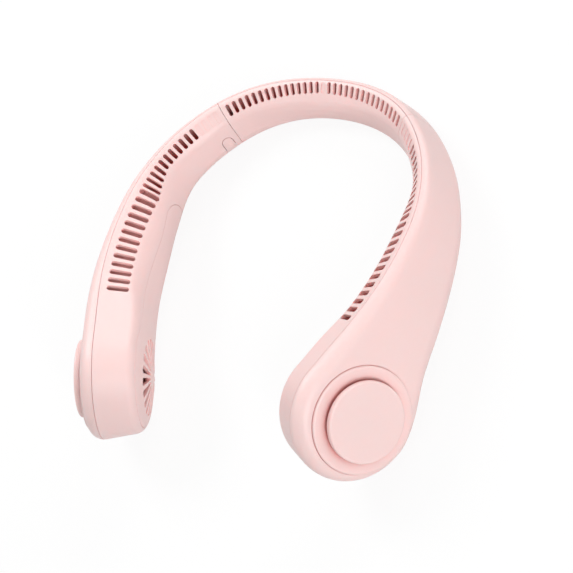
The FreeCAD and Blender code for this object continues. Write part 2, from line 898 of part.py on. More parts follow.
def motor_mount():
    """Ring with spokes that carries the motor's bearing tube over the wheel."""
    ring, hole = bound("mount_outer"), bound("mount_inner")
    hub, thick = bound("mount_hub"), bound("mount_thickness")
    body = new_body("left_motor_mount")
    turn(body, [
        (ZERO, MOUNT_TOP),
        (hub, MOUNT_TOP),
        (hub, MOUNT_LOW),
        (TUBE_RADIUS, MOUNT_LOW),
        (TUBE_RADIUS, TUBE_LOW),
        (TUBE_BORE, TUBE_LOW),
        (TUBE_BORE, MOUNT_LOW + bound("fit") * 2),
        (ZERO, MOUNT_LOW + bound("fit") * 2),
    ])
    spoke_sketch = new_sketch(body, "XY_Plane", MOUNT_LOW)
    half = bound("mount_spoke") * 0.5
    near, far = hub * 0.7, hole + half
    draw_polygon(spoke_sketch, [(-near, -half), (-near, half), (-far, half), (-far, -half)])
    spoke = pad(body, spoke_sketch, thick)
    repeat(body, spoke, bound("mount_spokes"))
    ring_sketch = new_sketch(body, "XY_Plane", MOUNT_LOW)
    draw_circle(ring_sketch, ring)
    draw_circle(ring_sketch, hole)
    body.Tip = pad(body, ring_sketch, thick)
    hole_sketch = new_sketch(body, "XY_Plane", MOUNT_TOP)
    across, ahead = screw_spot()
    draw_circle(hole_sketch, bound("screw_radius") + bound("fit") * 0.5, across, ahead)
    hole = bore(body, hole_sketch, thick)
    repeat(body, hole, bound("screw_count"))
    return body


def screw_spot():
    """Place of the first motor screw across the fan axis."""
    circle = bound("screw_circle")
    angle = math.radians(size("screw_angle"))
    across = Length(
        circle.value * math.cos(angle), circle.text + " * cos(sizes.screw_angle * 1 deg)"
    )
    ahead = Length(
        circle.value * math.sin(angle), circle.text + " * sin(sizes.screw_angle * 1 deg)"
    )
    return across, ahead


def motor_stator():
    """Laminated core with T-shaped poles, pressed on the bearing tube."""
    inner = TUBE_RADIUS + bound("seat_gap")
    outer, core = bound("stator_radius"), inner + bound("stator_core")
    top = MOUNT_LOW - bound("fit") * 3
    low = top - bound("stator_height")
    body = ring_body("left_motor_stator", core, inner, low, bound("stator_height"))
    sketch = new_sketch(body, "XY_Plane", low)
    web, shoe = bound("pole_width") * 0.5, bound("pole_shoe") * 0.5
    neck = outer - bound("shoe_depth")
    tip = outer - bound("fit")
    root = core - bound("stator_core") * 0.3
    draw_polygon(sketch, [
        (root, -web), (neck, -web), (neck, -shoe), (tip - bound("fit"), -shoe),
        (tip, ZERO), (tip - bound("fit"), shoe), (neck, shoe), (neck, web), (root, web),
    ])
    repeat(body, pad(body, sketch, bound("stator_height")), bound("stator_poles"))
    return body


def impeller():
    """Blower wheel: hub cup over the motor, web plate, curved blades and two end rings."""
    radius, inner = bound("wheel_radius"), bound("wheel_inner_radius")
    plate, hub = bound("wheel_plate"), bound("hub_radius")
    shaft = bound("shaft_radius")
    body = new_body("left_impeller")
    turn(body, [
        (shaft, HUB_LOW),
        (radius, HUB_LOW),
        (radius, HUB_FLOOR),
        (hub, HUB_FLOOR),
        (hub, WHEEL_TOP),
        (HUB_BORE, WHEEL_TOP),
        (HUB_BORE, HUB_FLOOR),
        (shaft, HUB_FLOOR),
    ])
    sketch = new_sketch(body, "XY_Plane", WHEEL_LOW)
    half, camber = bound("blade_thickness") * 0.5, bound("blade_camber")
    third = (radius - inner) * 0.33
    tip = radius - half
    draw_polygon(sketch, [
        (inner, -half),
        (inner + third, -camber * 0.5 - half),
        (tip - third, -camber * 0.4 - half),
        (tip, camber * 0.4 - half),
        (tip, camber * 0.4 + half),
        (tip - third, -camber * 0.4 + half),
        (inner + third, -camber * 0.5 + half),
        (inner, half),
    ])
    repeat(body, pad(body, sketch, bound("wheel_height")), bound("wheel_blades"))
    for level in (WHEEL_LOW, WHEEL_TOP - plate):
        rim = new_sketch(body, "XY_Plane", level)
        draw_circle(rim, radius)
        draw_circle(rim, radius - plate * 2)
        body.Tip = pad(body, rim, plate)
    return body


def rotor_magnet():
    """Ring magnet bonded in the wheel's hub cup."""
    outer = HUB_BORE - bound("seat_gap")
    inner = outer - bound("magnet_wall")
    low = HUB_FLOOR + bound("fit")
    return ring_body("left_rotor_magnet", outer, inner, low, WHEEL_TOP - bound("fit") - low)


def motor_bearing():
    """Sintered sleeve in the bearing tube."""
    inner = bound("shaft_radius") + bound("shaft_clearance")
    return ring_body(
        "left_motor_bearing", bound("bearing_radius"), inner, TUBE_LOW, bound("bearing_length")
    )


def motor_shaft():
    """Steel shaft pressed in the wheel's hub."""
    shaft = doc.addObject("Part::Cylinder", "left_motor_shaft")
    height = MOUNT_LOW + bound("fit") - HUB_LOW
    shaft.Radius = size("shaft_radius")
    shaft.setExpression("Radius", "sizes.shaft_radius")
    shaft.Height = height.value
    shaft.setExpression("Height", height.text)
    return shaft


def battery_cell():
    """Cylindrical cell with its raised end contact, along the body's z axis."""
    radius, length = bound("cell_radius"), bound("cell_length")
    edge = bound("cell_cap_height") * 0.4
    half = length * 0.5
    nub, rise = bound("cell_cap_radius"), bound("cell_cap_height")
    body = new_body("left_battery_cell")
    turn(body, [
        (ZERO, -half),
        (radius - edge, -half),
        (radius, edge - half),
        (radius, half - edge),
        (radius - edge, half),
        (nub, half),
        (nub, half + rise),
        (ZERO, half + rise),
    ])
    return body


# Pieces of free form


def scroll_wall():
    """Outline of the spiral wall: three quarter arcs whose centres step round a square."""
    step, start, wall = size("scroll_step"), size("scroll_start"), size("scroll_wall")
    half = step / 2
    centres = [Vector(-half, half, 0), Vector(-half, -half, 0), Vector(half, -half, 0)]
    quarters = []
    for k, centre in enumerate(centres):
        first = k * math.pi / 2
        radius = start + k * step
        quarters.append([
            [centre + Vector(math.cos(a), math.sin(a), 0) * r
             for a in (first, first + math.pi / 4, first + math.pi / 2)]
            for r in (radius, radius + wall)
        ])
    outer = [q[1] for q in quarters]
    inner = [list(reversed(q[0])) for q in reversed(quarters)]
    return chain(outer + inner)


def fan_scroll():
    """Blower housing: floor with its inlet, spiral wall and screw bosses."""
    low, top = FLOOR_LOW.value, MOUNT_LOW.value
    plate = Part.makeCylinder(size("scroll_floor"), FLOOR_TOP.value - low, UP * low)
    wall = Part.Face(scroll_wall()).extrude(UP * (top - low))
    wall.translate(UP * low)
    inlet = Part.makeCylinder(size("scroll_inlet"), top - low, UP * low)
    bosses = []
    holes = [inlet]
    depth = size("boss_depth")
    for spot in screw_spots():
        bosses.append(Part.makeCylinder(size("boss_radius"), top - low, spot + UP * low))
        holes.append(Part.makeCylinder(size("screw_radius"), depth, spot + UP * (top - depth)))
    return plate.fuse([wall] + bosses).cut(holes).removeSplitter()


def screw_spots():
    """Places of the motor screws across the fan axis."""
    spots = []
    for k in range(int(size("screw_count"))):
        angle = math.radians(size("screw_angle") + 360 * k / size("screw_count"))
        spots.append(Vector(math.cos(angle), math.sin(angle), 0) * size("screw_circle"))
    return spots


def motor_screw(spot):
    """Pan-head screw through the motor mount into a boss of the scroll."""
    top = MOUNT_TOP.value
    shank = Part.makeCylinder(size("screw_radius"), size("screw_length"), spot + UP * top, UP * -1)
    head = Part.makeCylinder(size("screw_head_radius"), size("screw_head_height"), spot + UP * top)
    slot = Part.makeBox(size("screw_head_radius") * 3, size("screw_slot"), size("screw_head_height"))
    slot.translate(spot + Vector(-slot.BoundBox.XMax / 2, -slot.BoundBox.YMax / 2, 0))
    slot.translate(UP * (top + size("screw_head_height") / 2))
    return shank.fuse(head).cut(slot).removeSplitter()


def lining_span(along, up):
    """Outward distances of the two linings at a height of the section."""
    top, rim, heel, low = section_corners(along)

    def crossing(first, second):
        a = first.centre + first.last * (first.radius - WALL)
        b = second.centre + second.first * (second.radius - WALL)
        return a.x + (b.x - a.x) * (up - a.y) / (b.y - a.y)

    ring = rim.radius - WALL
    if up < rim.centre.y + rim.last.y * ring:
        return crossing(rim, heel), crossing(low, top)
    return rim.centre.x - math.sqrt(ring ** 2 - (up - rim.centre.y) ** 2), crossing(low, top)


def duct_floor():
    """Floor of the air duct between the slots and the battery bay."""
    top = -size("floor_depth")
    low = top - size("floor_thickness")
    gap = size("fit")

    def outline(along):
        inner_top, outer_top = lining_span(along, top)
        inner_low, outer_low = lining_span(along, low)
        points = [
            Vector(inner_top + gap, top, 0), Vector(outer_top - gap, top, 0),
            Vector(outer_low - gap, low, 0), Vector(inner_low + gap, low, 0),
        ]
        return Part.makePolygon([lift(along, p) for p in points + points[:1]])

    return loft([outline(s) for s in steps_between(size("floor_start"), size("floor_end"))])


def seam_collar():
    """Sleeve inside the seam that joins the back to one arm."""
    start, end = SEAM - size("collar_back"), SEAM + size("collar_arm")
    outer = WALL + size("fit") / 2
    places = [start, (start + end) / 2, end]
    body = loft([ring_profile(s, outer) for s in places])
    return body.cut(loft([ring_profile(s, outer + size("collar_wall")) for s in places]))


def arm_place(along):
    """Axes of the arm at a place: x along the arm, y outward, z up."""
    return Placement(
        lift(along, Vector(0, 0, 0)), Rotation(along_arm(along), crest(along)[1], UP, "ZXY")
    )


BOARD = arm_place(size("board_place"))


def key_prism(grow, reach):
    """Arch-topped prism of the power button, pointing outward, grown all round."""
    half = size("button_width") / 2 + grow
    top = -size("button_top") + grow
    middle = -size("button_shift")
    low = -2 * size("head_radius")
    back = -size("head_radius")

    def spot(x, z):
        return Vector(middle + x, back, z)

    outline = chain([
        [spot(half, top - half), spot(0, top), spot(-half, top - half)],
        [spot(-half, low)],
        [spot(half, low)],
    ])
    solid = Part.Face(outline).extrude(Vector(0, reach - back, 0))
    solid.Placement = BOARD
    return solid


def stadium(width, depth, low, high):
    """Round-ended upright prism for the charge socket, in the board's axes."""
    middle = Vector(size("socket_shift"), size("socket_depth") / 2 - size("board_out"), low)
    radius = depth / 2
    run = width / 2 - radius
    core = Part.makeBox(2 * run, depth, high - low, middle - Vector(run, radius, 0))
    ends = [
        Part.makeCylinder(radius, high - low, middle + Vector(x, 0, 0)) for x in (-run, run)
    ]
    return core.fuse(ends).removeSplitter()


def underside(along):
    """Height of the skin under the crest line."""
    heel, low = section_corners(along)[2:]
    a = heel.centre + heel.last * heel.radius
    b = low.centre + low.first * low.radius
    return lift(along, a + (b - a) * (a.x / (a.x - b.x))).z


SOCKET_LOW = underside(size("board_place") + size("socket_shift")) + size("fit")


def charge_socket():
    """Upright charging socket: shell, closed top and the tongue inside."""
    width, depth = size("socket_width"), size("socket_depth")
    shell = size("socket_wall")
    high = SOCKET_LOW + size("socket_height")
    cavity = stadium(width - 2 * shell, depth - 2 * shell, SOCKET_LOW, high - size("socket_roof"))
    thick = size("tongue_thickness")
    tongue = Part.makeBox(width * 0.75, thick, size("socket_height") * 0.8)
    tongue.translate(Vector(
        size("socket_shift") - width * 0.375,
        (depth - thick) / 2 - size("board_out"),
        high - size("socket_height") * 0.85,
    ))
    body = stadium(width, depth, SOCKET_LOW, high).cut(cavity).fuse(tongue).removeSplitter()
    body.Placement = BOARD
    return body


def socket_opening():
    """Hole in the underside that the charge socket looks out of."""
    gap = size("socket_gap") * 2
    low = -2 * size("head_radius")
    high = SOCKET_LOW + size("socket_height") / 2
    hole = stadium(size("socket_width") + gap, size("socket_depth") + gap, low, high)
    hole.Placement = BOARD
    return hole


def power_button(shell):
    """Key cut from the arm's own wall, with the stem that reaches the switch."""
    key = shell.common(key_prism(0, -size("button_wrap")))
    face = -size("board_out") - size("board_thickness") - size("switch_height")
    end = face - size("button_travel") - size("fit")
    length = size("button_stem")
    start = Vector(-size("button_shift"), end - length, -size("switch_depth"))
    stem = Part.makeCylinder(size("button_stem_radius"), length, start, Vector(0, 1, 0))
    stem.Placement = BOARD.multiply(stem.Placement)
    return key.fuse(stem).removeSplitter()


# Pose at rest on a table: both heads and the back touch it


def spread(first, second, count=12):
    """Directions spread over an arc from one direction to another."""
    return [
        (first * (1 - k / count) + second * (k / count)).normalize() for k in range(count + 1)
    ]


def skin_points(along, corners):
    """Points of some rounded corners of a section, given as (out, up)."""
    return [
        corner.centre + way * corner.radius
        for corner in section_corners(along)[corners]
        for way in spread(corner.first, corner.last)
    ]


def back_points():
    """Points of the back's skin."""
    places = even_steps(SEAM, 64)
    return [lift(s, p) for s in places for p in skin_points(s, slice(0, 4))]


def head_points():
    """Points of the left arm's low edges, of its round head and of the cap."""
    places = steps_between(SEAM, HEAD_PLACE, 4.0)
    points = [lift(s, p) for s in places for p in skin_points(s, slice(2, 4))]
    radius = size("head_radius")
    rings = [
        (p.dot(LEAN_UP) + radius, AXIS_DROP, p.dot(LEAN_OUT))
        for p in skin_points(HEAD_PLACE, slice(0, 2))
    ]
    rings.append((size("cap_radius"), 0.0, CAP_FACE.value))
    for ring, rise, out in rings:
        for k in range(120):
            angle = math.radians(3 * k)
            up = rise + ring * math.cos(angle)
            points.append(head_point(up, ring * math.sin(angle), out))
    return points


def resting_place():
    """Tilt about X that sets the heads and the back on one plane, then centre over the origin."""
    back, head = back_points(), head_points()

    def lowest(points, tilt):
        return min(p.y * math.sin(tilt) + p.z * math.cos(tilt) for p in points)

    low, high = -math.pi / 6, 0.0
    for _ in range(40):
        tilt = (low + high) / 2
        if lowest(back, tilt) > lowest(head, tilt):
            high = tilt
        else:
            low = tilt
    turn_down = Rotation(Vector(1, 0, 0), math.degrees(tilt))
    ahead = [turn_down.multVec(p).y for p in back + head]
    middle = (min(ahead) + max(ahead)) / 2
    return Placement(Vector(0, -middle, -lowest(head, tilt)), turn_down)


REST = resting_place()
nodes = []


def put(piece, place):
    """Set one piece in its place at rest and keep it for the export."""
    piece.Placement = REST.multiply(place)
    nodes.append(piece)
    return piece


def put_shape(label, shape):
    """Keep a free-form solid as a piece of its own."""
    piece = doc.addObject("Part::Feature", label)
    piece.Shape = shape
    return put(piece, shape.Placement)


def mirror(piece, label=None):
    """Matching piece of the right arm."""
    twin = doc.addObject("Part::Mirroring", label or piece.Label.replace("left_", "right_"))
    twin.Source = piece
    twin.Normal = Vector(1, 0, 0)
    twin.Base = Vector(0, 0, 0)
    nodes.append(twin)
    return twin


# Shells

put_shape("back_slotted_shell", back_shell(frame_groups).cut(back_slots()))
put_shape("back_outer_cover", back_shell(cover_groups))
plain_frame = arm_shell(frame_groups)
slotted_frame = plain_frame.cut(arm_slots() + [cover_prism(size("joint_gap") / 2)])
put_shape("left_arm_frame", slotted_frame)
key_room = key_prism(size("button_gap"), -size("button_wrap") + size("button_travel") * 2)
control_frame = doc.addObject("Part::Feature", "control_side_frame")
control_frame.Shape = slotted_frame.cut([key_room, socket_opening()])
control_frame.Placement = REST
mirror(control_frame, "right_arm_frame")
mirror(put_shape("left_inner_cover", inner_cover(plain_frame)))

seat = Part.makeCylinder(
    size("bezel_radius") + size("joint_gap"), size("outer_reach"), UP * BEZEL_SEAT.value
)
through = size("bezel_radius") - size("bezel_flange") * 1.2
opening = Part.makeCylinder(through, size("inner_reach"))
for cutter in (seat, opening):
    cutter.Placement = HEAD.multiply(cutter.Placement)
plain_cover = arm_shell(cover_groups).cut([seat, opening])
put_shape("left_outer_cover", plain_cover)
control_cover = doc.addObject("Part::Feature", "control_side_cover")
control_cover.Shape = plain_cover.cut(socket_opening())
control_cover.Placement = REST
mirror(control_cover, "right_outer_cover")
mirror(put_shape("left_seam_collar", seam_collar()))
mirror(put_shape("left_duct_floor", duct_floor()))

# Fan heads

scroll = fan_scroll()
scroll.Placement = HEAD
mirror(put_shape("left_fan_scroll", scroll))
for make in (
    intake_bezel, intake_cap, motor_mount, motor_stator, motor_bearing, impeller, rotor_magnet
):
    mirror(put(make(), HEAD))
shaft = motor_shaft()
mirror(put(shaft, HEAD.multiply(Placement(UP * HUB_LOW.value, Rotation()))))
screws = Part.makeCompound([motor_screw(spot) for spot in screw_spots()])
screws.Placement = REST.multiply(HEAD)
both = screws.Solids + screws.mirror(Vector(0, 0, 0), Vector(1, 0, 0)).Solids
screw_set = doc.addObject("Part::Feature", "motor_screws")
screw_set.Shape = Part.makeCompound(both)
nodes.append(screw_set)

# Power and control

cell_up = -size("floor_depth") - size("floor_thickness") - size("fit") - size("cell_radius")
cell_place = size("cell_place")
cell_axes = Rotation(UP, crest(cell_place)[1] * -1, along_arm(cell_place), "ZXY")
cell_spot = lift(cell_place, Vector(size("cell_out"), cell_up, 0))
mirror(put(battery_cell(), Placement(cell_spot, cell_axes)))


def box(label, length, width, height, corner):
    """Bound box in the board's axes, mirrored to the right arm."""
    piece = doc.addObject("Part::Box", label + "_left_hand")
    for name, value in (("Length", length), ("Width", width), ("Height", height)):
        setattr(piece, name, value.value)
        piece.setExpression(name, value.text)
    piece.Placement = REST.multiply(BOARD.multiply(Placement(corner, Rotation())))
    return mirror(piece, label)


board_face = -size("board_out") - size("board_thickness")
box(
    "control_board", bound("board_length"), bound("board_thickness"), bound("board_height"),
    Vector(-size("board_length") / 2, board_face, -size("board_depth") - size("board_height") / 2),
)
half_switch = size("switch_size") / 2
box(
    "tact_switch", bound("switch_size"), bound("switch_height"), bound("switch_size"),
    Vector(
        -size("button_shift") - half_switch,
        board_face - size("switch_height"),
        -size("switch_depth") - half_switch,
    ),
)
for label, shape in (
    ("power_button", power_button(plain_frame)), ("charge_socket", charge_socket())
):
    source = doc.addObject("Part::Feature", label + "_left_hand")
    source.Shape = shape
    source.Placement = REST.multiply(shape.Placement)
    mirror(source, label)

loom = doc.addObject("Part::Torus", "wire_loom")
loom_line = bound("back_radius") + bound("loom_out")
for name, value in (("Radius1", loom_line), ("Radius2", bound("loom_radius"))):
    setattr(loom, name, value.value)
    loom.setExpression(name, value.text)
loom.Angle3 = math.degrees((size("loom_start") + size("loom_end")) / BACK_RADIUS)
loom.setExpression(
    "Angle3", "(sizes.loom_start + sizes.loom_end) / sizes.back_radius * 180 / pi"
)
loom_turn = Rotation(UP, 90 - math.degrees(size("loom_end") / BACK_RADIUS))
put(loom, Placement(UP * -size("loom_depth"), loom_turn))

# Check and export

doc.recompute()
for item in doc.Objects:
    if "Invalid" in item.State or "Error" in item.State:
        raise RuntimeError("%s did not compute: %s" % (item.Label, item.State))
os.makedirs("parts", exist_ok=True)
for node in nodes:
    if node.Shape.isNull() or not node.Shape.isValid() or not node.Shape.Solids:
        raise RuntimeError(node.Label + " has no valid solid")
    node.Shape.exportStep(os.path.join("parts", node.Label + ".step"))
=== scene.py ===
"""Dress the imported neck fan: finishes, rounded shells, studio light and the camera.

Every length is in metres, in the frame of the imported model: +X is the wearer's left,
+Y the back of the neck and +Z up, with the collar resting on the floor at Z = 0.
"""

from __future__ import annotations

import json
import logging
import math
from dataclasses import dataclass, field
from enum import Enum
from functools import reduce
from typing import Any, Dict, List, Optional, Tuple, Union

import bmesh
import bpy
from mathutils import Matrix, Vector
from mathutils.bvhtree import BVHTree

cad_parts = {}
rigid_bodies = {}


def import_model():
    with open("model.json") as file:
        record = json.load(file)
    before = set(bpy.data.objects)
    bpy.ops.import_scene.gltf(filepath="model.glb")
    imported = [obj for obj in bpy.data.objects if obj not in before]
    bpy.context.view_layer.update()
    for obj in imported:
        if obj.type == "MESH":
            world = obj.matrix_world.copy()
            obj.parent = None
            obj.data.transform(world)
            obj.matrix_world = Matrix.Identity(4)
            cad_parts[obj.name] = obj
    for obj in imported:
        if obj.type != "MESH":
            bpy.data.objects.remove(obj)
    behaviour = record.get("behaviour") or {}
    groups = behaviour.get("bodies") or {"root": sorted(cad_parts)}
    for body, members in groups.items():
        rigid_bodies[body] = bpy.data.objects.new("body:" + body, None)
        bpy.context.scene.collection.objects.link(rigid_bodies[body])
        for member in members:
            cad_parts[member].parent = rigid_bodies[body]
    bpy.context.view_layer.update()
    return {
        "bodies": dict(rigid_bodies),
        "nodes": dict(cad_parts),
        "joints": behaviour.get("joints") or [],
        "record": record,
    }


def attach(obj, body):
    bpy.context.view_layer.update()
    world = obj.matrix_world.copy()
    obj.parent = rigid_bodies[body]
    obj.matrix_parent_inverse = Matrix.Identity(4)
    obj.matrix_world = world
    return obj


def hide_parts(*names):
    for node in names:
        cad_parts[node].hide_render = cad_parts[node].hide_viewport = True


LOG = logging.getLogger("neck_fan")
PHOTO_PIXELS = 573
WHITE_RAYS = ("Is Camera Ray", "Is Glossy Ray", "Is Transmission Ray")
PAINTED_SHADE_MARK = "inside"
INTAKE = "intake"
CAP_FINISH = "intake_cap"
BEZEL_FINISH = "intake_bezel"
Triple = Tuple[float, float, float]
Tint = Union[Triple, bpy.types.NodeSocket]


class Side(Enum):
    """The wearer's two sides; the value is the prefix of the node names."""

    LEFT = "left_"
    RIGHT = "right_"


class Signal:
    """A number socket of a shader graph that takes part in Python arithmetic."""

    def __init__(self, graph: Graph, socket: bpy.types.NodeSocket) -> None:
        """Wrap one output socket of a graph."""
        self.graph = graph
        self.socket = socket

    def _join(self, operation: str, left: Operand, right: Operand) -> Signal:
        """Add the Math node for one operation and wrap its result."""
        node = self.graph.node(
            "ShaderNodeMath", {"operation": operation}, {0: left, 1: right}
        )
        return Signal(self.graph, node.outputs[0])

    def __add__(self, other: Operand) -> Signal:
        """Sum of two signals."""
        return self._join("ADD", self, other)

    __radd__ = __add__

    def __sub__(self, other: Operand) -> Signal:
        """Difference of two signals."""
        return self._join("SUBTRACT", self, other)

    def __rsub__(self, other: Operand) -> Signal:
        """Difference with this signal taken away."""
        return self._join("SUBTRACT", other, self)

    def __mul__(self, other: Operand) -> Signal:
        """Product of two signals."""
        return self._join("MULTIPLY", self, other)

    __rmul__ = __mul__

    def most(self, other: Operand) -> Signal:
        """Larger of two signals."""
        return self._join("MAXIMUM", self, other)


Operand = Union[Signal, float]


class Graph:
    """A node tree that is written as Python expressions."""

    def __init__(self, tree: bpy.types.NodeTree) -> None:
        """Take a node tree as it stands."""
        self.tree = tree

    def node(
        self,
        kind: str,
        settings: Optional[Dict[str, Any]] = None,
        inputs: Optional[Dict[Union[str, int], Any]] = None,
    ) -> bpy.types.Node:
        """Add a node, set its settings first and then its sockets.

        Args:
            kind: Blender's name of the node type.
            settings: properties of the node.
            inputs: values, sockets or signals by socket name or number.

        Returns:
            The new node.
        """
        node = self.tree.nodes.new(kind)
        for key, value in (settings or {}).items():
            setattr(node, key, value)
        for key, value in (inputs or {}).items():
            self.feed(node.inputs[key], value)
        return node

    def feed(self, socket: bpy.types.NodeSocket, value: Any) -> None:
        """Link a socket or signal to an input, or set its plain value.

        Args:
            socket: the input.
            value: a signal, an output socket, a number or a colour.
        """
        if isinstance(value, Signal):
            value = value.socket
        if isinstance(value, bpy.types.NodeSocket):
            self.tree.links.new(value, socket)
        else:
            socket.default_value = value

    def seen(self) -> Signal:
        """Tell the rays that see the white background from the light that bounces.

        Returns:
            A signal that is 1 for the first and 0 for the second.
        """
        path = self.node("ShaderNodeLightPath")
        first, *others = (Signal(self, path.outputs[ray]) for ray in WHITE_RAYS)
        return reduce(Signal.most, others, first)


class Surface(Graph):
    """The node tree of one material, with its shader and its object coordinates."""

    def __init__(self, name: str) -> None:
        """Start an empty material.

        Args:
            name: name of the material.
        """
        self.material = bpy.data.materials.new(name)
        self.material.use_nodes = True
        super().__init__(self.material.node_tree)
        self.tree.nodes.clear()
        self.shader = self.node("ShaderNodeBsdfPrincipled")
        self.output = self.node(
            "ShaderNodeOutputMaterial", None, {0: self.shader.outputs[0]}
        )
        self.place = self.node("ShaderNodeTexCoord").outputs["Object"]

    def noise(self, scale: float, detail: float, roughness: float = 0.5) -> Signal:
        """Noise over the object's own coordinates.

        Args:
            scale: waves per metre.
            detail: number of finer octaves.
            roughness: strength of the finer octaves.

        Returns:
            The noise as a signal round one half.
        """
        node = self.node(
            "ShaderNodeTexNoise",
            None,
            {
                "Vector": self.place,
                "Scale": scale,
                "Detail": detail,
                "Roughness": roughness,
            },
        )
        return Signal(self, node.outputs[0])

    def mark(self, name: str) -> Signal:
        """Read an attribute of the piece's own mesh."""
        node = self.node("ShaderNodeAttribute", {"attribute_name": name})
        return Signal(self, node.outputs["Fac"])

    def shut(self, reach: float, samples: int = 8) -> Signal:
        """Share of the view from a point that walls within reach take up.

        Args:
            reach: how far away a wall still counts.
            samples: number of rays that look for walls.

        Returns:
            The share as a signal.
        """
        node = self.node(
            "ShaderNodeAmbientOcclusion", {"samples": samples}, {"Distance": reach}
        )
        return 1.0 - Signal(self, node.outputs["AO"])

    def blend(self, mask: Signal, low: Tint, high: Tint) -> bpy.types.NodeSocket:
        """Mix two colours by a signal.

        Args:
            mask: the share of the second colour.
            low: colour, or colour socket, where the mask is 0.
            high: colour, or colour socket, where the mask is 1.

        Returns:
            The colour socket.
        """
        first, second = (
            (*tint, 1.0) if isinstance(tint, tuple) else tint for tint in (low, high)
        )
        node = self.node(
            "ShaderNodeMix", {"data_type": "RGBA"}, {0: mask, 6: first, 7: second}
        )
        return node.outputs[2]

    def bump(self, height: Signal, depth: float, strength: float) -> bpy.types.NodeSocket:
        """Surface relief from a height signal.

        Args:
            height: the relief.
            depth: how far the relief reaches.
            strength: share of the relief that shows.

        Returns:
            The normal socket.
        """
        node = self.node(
            "ShaderNodeBump",
            None,
            {"Height": height, "Distance": depth, "Strength": strength},
        )
        return node.outputs[0]

    def dress(self, **sockets: Any) -> bpy.types.Material:
        """Set the shader's sockets and give the material.

        Args:
            sockets: values or links by socket name, with underscores for spaces.

        Returns:
            The material.
        """
        for name, value in sockets.items():
            self.feed(self.shader.inputs[name.replace("_", " ")], value)
        return self.material


def shaded(colour: Triple, factor: float) -> Triple:
    """Scale a colour's brightness."""
    red, green, blue = (min(1.0, part * factor) for part in colour)
    return red, green, blue


@dataclass(frozen=True)
class SatinPlastic:
    """Moulded plastic with a fine eroded texture and a soft sheen.

    Where a painted-shade colour is given, it is painted as shade inside the shells, in
    gaps and in grooves. The glow is the share of light that spreads below the surface.
    """

    name: str
    colour: Triple
    roughness: float = 0.42
    grain: float = 2600.0
    relief: float = 0.00003
    relief_shown: float = 0.35
    cloud: float = 28.0
    cloud_tones: Tuple[float, float] = (0.975, 1.02)
    cloud_swing: float = 0.05
    grain_swing: float = 0.12
    painted_shade: Optional[Triple] = None
    gap_shade_reach: float = 0.012
    gap_shade_gain: float = 2.2
    groove_shade_reach: float = 0.0012
    groove_shade_gain: float = 0.8
    glow: float = 0.0
    glow_radius: Triple = (1.0, 0.35, 0.3)
    glow_scale: float = 0.006
    refraction: float = 1.47

    def depth(self, graph: Surface) -> Signal:
        """Painted-shade mask: how shut in a point lies, from 0 on a free face to 1 inside
        the shells.

        Args:
            graph: the graph of the finish.

        Returns:
            The depth as a signal.
        """
        gap = graph.shut(self.gap_shade_reach)
        groove = graph.shut(self.groove_shade_reach)
        inside = graph.mark(PAINTED_SHADE_MARK)
        return inside.most(gap * gap * self.gap_shade_gain).most(groove * self.groove_shade_gain)

    def material(self) -> bpy.types.Material:
        """Build the finish.

        Returns:
            The material.
        """
        graph = Surface(self.name)
        cloud = graph.noise(self.cloud, 2.0)
        grain = graph.noise(self.grain, 3.0, 0.6)
        low, high = (shaded(self.colour, tone) for tone in self.cloud_tones)
        tone = graph.blend(cloud, low, high)
        # Painted shade: the painted-shade colour takes over from the shell colour where
        # the mask says a point lies shut in.
        if self.painted_shade is not None:
            tone = graph.blend(self.depth(graph), tone, self.painted_shade)
        swing = (cloud - 0.5) * self.cloud_swing + (grain - 0.5) * self.grain_swing
        return graph.dress(
            Base_Color=tone,
            Roughness=self.roughness + swing,
            Normal=graph.bump(grain, self.relief, self.relief_shown),
            IOR=self.refraction,
            Subsurface_Weight=self.glow,
            Subsurface_Radius=self.glow_radius,
            Subsurface_Scale=self.glow_scale,
        )


@dataclass(frozen=True)
class TurnedMetal:
    """Machined or plated metal with fine tool marks."""

    name: str
    colour: Triple
    roughness: float = 0.3
    metallic: float = 1.0
    marks: float = 5200.0
    marks_swing: float = 0.14
    haze: float = 320.0
    haze_tones: Tuple[float, float] = (0.9, 1.06)
    haze_swing: float = 0.1
    relief: float = 0.00001
    relief_shown: float = 0.3

    def material(self) -> bpy.types.Material:
        """Build the finish.

        Returns:
            The material.
        """
        graph = Surface(self.name)
        marks = graph.noise(self.marks, 2.0)
        haze = graph.noise(self.haze, 3.0)
        low, high = (shaded(self.colour, tone) for tone in self.haze_tones)
        swing = (marks - 0.5) * self.marks_swing + (haze - 0.5) * self.haze_swing
        return graph.dress(
            Base_Color=graph.blend(haze, low, high),
            Roughness=self.roughness + swing,
            Metallic=self.metallic,
            Normal=graph.bump(marks, self.relief, self.relief_shown),
        )


@dataclass(frozen=True)
class BoardLaminate:
    """Circuit board with solder mask over faint copper tracks."""

    name: str
    colour: Triple
    tracks: float = 420.0
    track_tones: Tuple[float, float] = (1.5, 0.85)
    roughness: float = 0.3
    track_swing: float = 0.2
    relief: float = 0.00004
    relief_shown: float = 0.5

    def material(self) -> bpy.types.Material:
        """Build the finish.

        Returns:
            The material.
        """
        graph = Surface(self.name)
        cell = graph.node(
            "ShaderNodeTexVoronoi",
            {"distance": "MANHATTAN"},
            {"Vector": graph.place, "Scale": self.tracks},
        )
        tracks = Signal(graph, cell.outputs["Distance"])
        low, high = (shaded(self.colour, tone) for tone in self.track_tones)
        return graph.dress(
            Base_Color=graph.blend(tracks, low, high),
            Roughness=self.roughness + tracks * self.track_swing,
            Normal=graph.bump(tracks, self.relief, self.relief_shown),
        )


